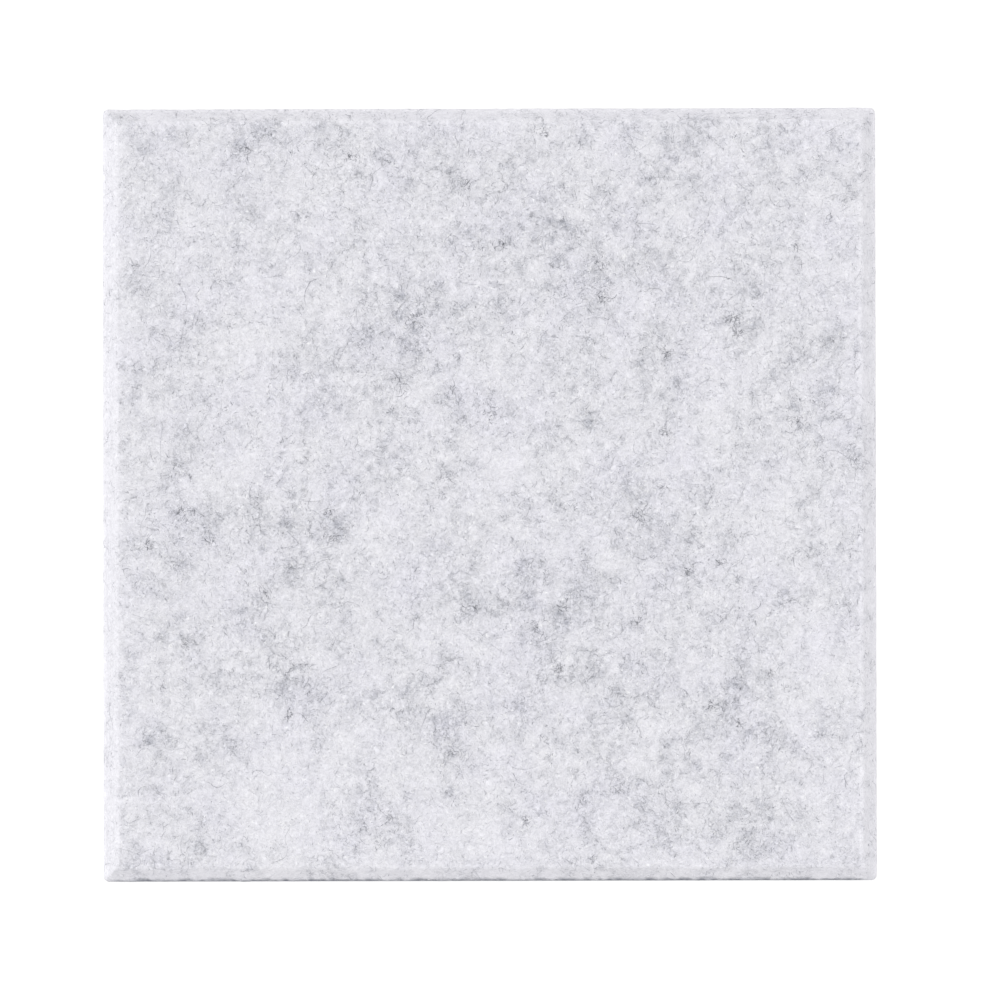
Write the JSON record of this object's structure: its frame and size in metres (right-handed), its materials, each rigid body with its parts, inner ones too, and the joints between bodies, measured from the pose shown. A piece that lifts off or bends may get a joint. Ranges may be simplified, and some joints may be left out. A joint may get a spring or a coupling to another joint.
{
  "type": "acoustic panel",
  "caption": "Square acoustic wall tile of pressed polyester felt, with a flat back, square butt edges and a softened bevel round the face.",
  "frame": {"origin": "centre of the flat back face, which lies on the floor or against the wall", "axes": "+X to the right of the face, +Y to the top of the face, +Z out of the bevelled face"},
  "size_m": [0.3, 0.3, 0.009],
  "materials": {
    "felt": "heathered needled felt"
  },
  "bodies": {
    "root": {"felt_board": "felt"}
  },
  "joints": []
}
